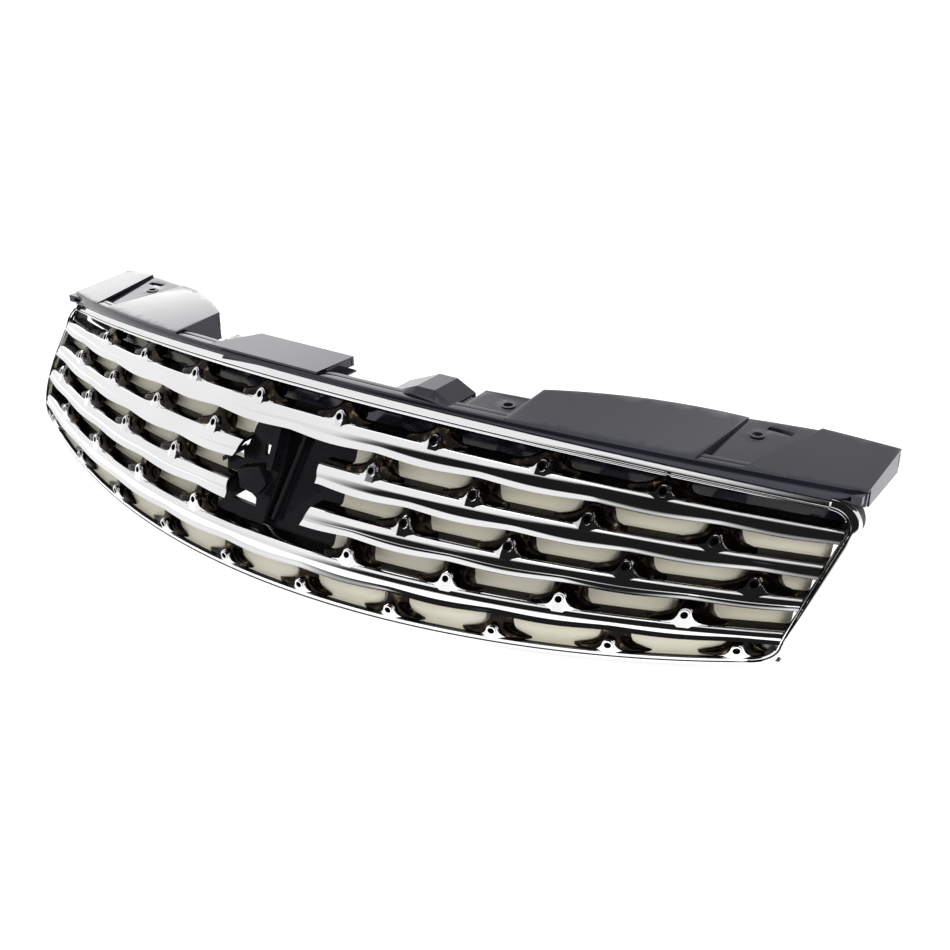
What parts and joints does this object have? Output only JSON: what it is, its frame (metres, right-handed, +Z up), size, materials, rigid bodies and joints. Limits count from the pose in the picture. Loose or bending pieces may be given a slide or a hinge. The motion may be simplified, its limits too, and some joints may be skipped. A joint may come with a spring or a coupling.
{
  "type": "front grille",
  "caption": "Swept chrome front grille with louvred bars on ringed posts, a round empty emblem bay and a glossy black mounting cover along the top.",
  "frame": {"origin": "bottom centre of the whole grille's bounding box", "axes": "+X across the grille to the viewer's right as seen from the front, +Y to the rear, +Z up"},
  "size_m": [0.8456, 0.2489, 0.166],
  "materials": {
    "chrome": "bright plated plastic",
    "chrome_posts": "bright plated, warm reflections",
    "satin_louver": "pale warm satin plating",
    "gloss_black": "glossy black moulding",
    "bay_black": "semi-gloss black moulding",
    "matte_black": "grained black moulding"
  },
  "bodies": {
    "root": {"surround_top": "chrome", "surround_bottom": "chrome", "surround_side_left": "chrome", "surround_side_right": "chrome", "bar_1": "chrome", "bar_2_left": "chrome", "bar_2_right": "chrome", "bar_3_left": "chrome", "bar_3_right": "chrome", "bar_4": "chrome", "posts_row_1": "chrome_posts", "posts_row_2": "chrome_posts", "posts_row_3": "chrome_posts", "posts_row_4": "chrome_posts", "posts_row_5": "chrome_posts", "louver_2_left": "satin_louver", "louver_2_right": "satin_louver", "louver_3_left": "satin_louver", "louver_3_right": "satin_louver", "louver_4_left": "satin_louver", "louver_4_right": "satin_louver", "louver_5": "satin_louver", "cover_strip": "gloss_black", "cover_inner_flange": "gloss_black", "cover_end_plate_left": "gloss_black", "cover_end_plate_right": "gloss_black", "cover_low_plate_left": "gloss_black", "cover_low_plate_right": "gloss_black", "cover_raised_plate_left": "gloss_black", "cover_raised_plate_right": "gloss_black", "cover_inner_flat_left": "gloss_black", "cover_inner_flat_right": "gloss_black", "cover_centre_plate": "gloss_black", "cover_ramp_block": "gloss_black", "corner_pocket_left": "gloss_black", "corner_pocket_right": "gloss_black", "bay_backplate": "bay_black", "bay_hub": "bay_black", "bay_vane": "bay_black", "base_frame_bottom": "matte_black", "base_frame_side_left": "matte_black", "base_frame_side_right": "matte_black", "base_tabs": "matte_black"}
  },
  "joints": []
}
